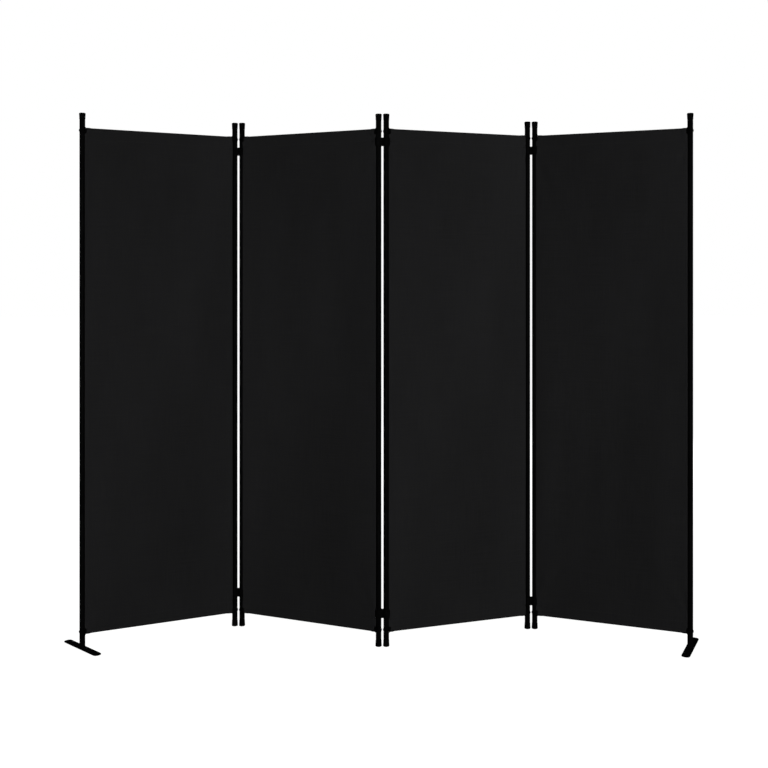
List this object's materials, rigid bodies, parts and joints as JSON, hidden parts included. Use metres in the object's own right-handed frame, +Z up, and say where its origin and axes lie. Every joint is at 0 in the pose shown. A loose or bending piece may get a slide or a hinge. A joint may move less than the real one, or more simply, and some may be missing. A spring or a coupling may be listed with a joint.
{
  "type": "folding room divider screen",
  "caption": "Free-standing folding screen of fabric panels on steel tube frames, joined by two-ring clips, with a swivelling flat foot on each end post.",
  "frame": {"origin": "on the floor, at the middle of the standing screen's outline in plan", "axes": "+X from the left end of the screen to its right end, +Y from the viewer's side to the back, +Z up"},
  "size_m": [2.1794, 0.3384, 1.803],
  "materials": {
    "cloth": "matte",
    "frame_steel": "satin",
    "moulded_plastic": "matte",
    "bolt_steel": "satin",
    "pad_rubber": "matte"
  },
  "bodies": {
    "panel_1": {"panel1_fabric": "cloth", "panel1_cross_bars": "frame_steel", "panel1_brackets": "moulded_plastic", "panel1_bolts": "bolt_steel", "panel1_caps": "moulded_plastic", "panel1_left_post_top": "frame_steel", "panel1_left_post_middle": "frame_steel", "panel1_left_post_bottom": "frame_steel", "panel1_right_post_top": "frame_steel", "panel1_right_post_middle": "frame_steel", "panel1_right_post_bottom": "frame_steel", "left_post_insert": "moulded_plastic"},
    "panel_2": {"panel2_fabric": "cloth", "panel2_cross_bars": "frame_steel", "panel2_brackets": "moulded_plastic", "panel2_bolts": "bolt_steel", "panel2_caps": "moulded_plastic", "panel2_left_post_top": "frame_steel", "panel2_left_post_middle": "frame_steel", "panel2_left_post_bottom": "frame_steel", "panel2_right_post_top": "frame_steel", "panel2_right_post_middle": "frame_steel", "panel2_right_post_bottom": "frame_steel"},
    "panel_3": {"panel3_fabric": "cloth", "panel3_cross_bars": "frame_steel", "panel3_brackets": "moulded_plastic", "panel3_bolts": "bolt_steel", "panel3_caps": "moulded_plastic", "panel3_left_post_top": "frame_steel", "panel3_left_post_middle": "frame_steel", "panel3_left_post_bottom": "frame_steel", "panel3_right_post_top": "frame_steel", "panel3_right_post_middle": "frame_steel", "panel3_right_post_bottom": "frame_steel"},
    "panel_4": {"panel4_fabric": "cloth", "panel4_cross_bars": "frame_steel", "panel4_brackets": "moulded_plastic", "panel4_bolts": "bolt_steel", "panel4_caps": "moulded_plastic", "panel4_left_post_top": "frame_steel", "panel4_left_post_middle": "frame_steel", "panel4_left_post_bottom": "frame_steel", "panel4_right_post_top": "frame_steel", "panel4_right_post_middle": "frame_steel", "panel4_right_post_bottom": "frame_steel", "right_post_insert": "moulded_plastic"},
    "left_clips": {"left_clip_top": "moulded_plastic", "left_clip_bottom": "moulded_plastic"},
    "centre_clips": {"centre_clip_top": "moulded_plastic", "centre_clip_bottom": "moulded_plastic"},
    "right_clips": {"right_clip_top": "moulded_plastic", "right_clip_bottom": "moulded_plastic"},
    "left_foot": {"left_foot_stud": "bolt_steel", "left_foot_plate": "frame_steel", "left_foot_pads": "pad_rubber"},
    "right_foot": {"right_foot_stud": "bolt_steel", "right_foot_plate": "frame_steel", "right_foot_pads": "pad_rubber"}
  },
  "joints": [
    {"name": "panel_2_on_centre_clips", "type": "hinge", "parent": "centre_clips", "child": "panel_2", "pos_m": [-0.01336, -0.05649, 0.9], "axis": [0, 0, -1], "range_deg": [-113.5, 66.5]},
    {"name": "left_clips_on_panel_2", "type": "hinge", "parent": "panel_2", "child": "left_clips", "pos_m": [-0.50399, 0.15684, 0.9], "axis": [0, 0, 1], "range_deg": [-113.5, 66.5]},
    {"name": "panel_1_on_left_clips", "type": "hinge", "parent": "left_clips", "child": "panel_1", "pos_m": [-0.52999, 0.15684, 0.9], "axis": [0, 0, 1], "range_deg": [-116, 64]},
    {"name": "panel_3_on_centre_clips", "type": "hinge", "parent": "centre_clips", "child": "panel_3", "pos_m": [0.01264, -0.05649, 0.9], "axis": [0, 0, 1], "range_deg": [-110, 70]},
    {"name": "right_clips_on_panel_3", "type": "hinge", "parent": "panel_3", "child": "right_clips", "pos_m": [0.51538, 0.12649, 0.9], "axis": [0, 0, -1], "range_deg": [-110, 70]},
    {"name": "panel_4_on_right_clips", "type": "hinge", "parent": "right_clips", "child": "panel_4", "pos_m": [0.54138, 0.12649, 0.9], "axis": [0, 0, -1], "range_deg": [-112, 68]},
    {"name": "left_foot_swivel", "type": "hinge", "parent": "panel_1", "child": "left_foot", "pos_m": [-1.01084, -0.07769, 0.004], "axis": [0, 0, 1], "range_deg": [-110, 70]},
    {"name": "right_foot_swivel", "type": "hinge", "parent": "panel_4", "child": "right_foot", "pos_m": [1.03742, -0.07392, 0.004], "axis": [0, 0, 1], "range_deg": [-87, 93]}
  ]
}
